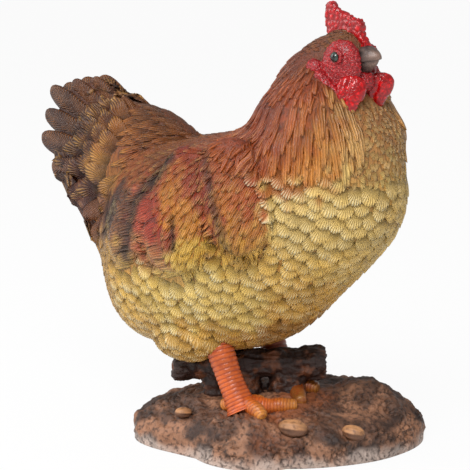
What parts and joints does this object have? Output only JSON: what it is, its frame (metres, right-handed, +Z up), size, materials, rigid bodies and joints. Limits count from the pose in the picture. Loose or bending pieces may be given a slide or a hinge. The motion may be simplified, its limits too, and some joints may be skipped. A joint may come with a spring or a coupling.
{
  "type": "hen figurine",
  "caption": "Hen standing on a rock base with a log under its belly, cast in one piece, with carved scallop feathers, a fanned tail, folded wings, comb, wattles and scaled legs",
  "frame": {"origin": "under the middle of the figurine's bounding box, on the surface that it stands on", "axes": "+X the way the hen faces, +Y its left side, +Z up"},
  "size_m": [0.2536, 0.17, 0.2717],
  "materials": {
    "plumage": "semi-gloss hand-painted cast resin, buff breast feathers",
    "hackle": "semi-gloss paint, rust and orange neck, wings, back and tail",
    "comb": "gloss red paint on comb, face, ear lobes and wattles",
    "beak": "satin horn-coloured paint",
    "eye": "gloss black-green paint",
    "legs": "satin orange paint with dark lines between the scales",
    "rock": "matt mottled brown paint on the cast rock and log"
  },
  "bodies": {
    "root": {"hen_figurine": "plumage"}
  },
  "joints": []
}
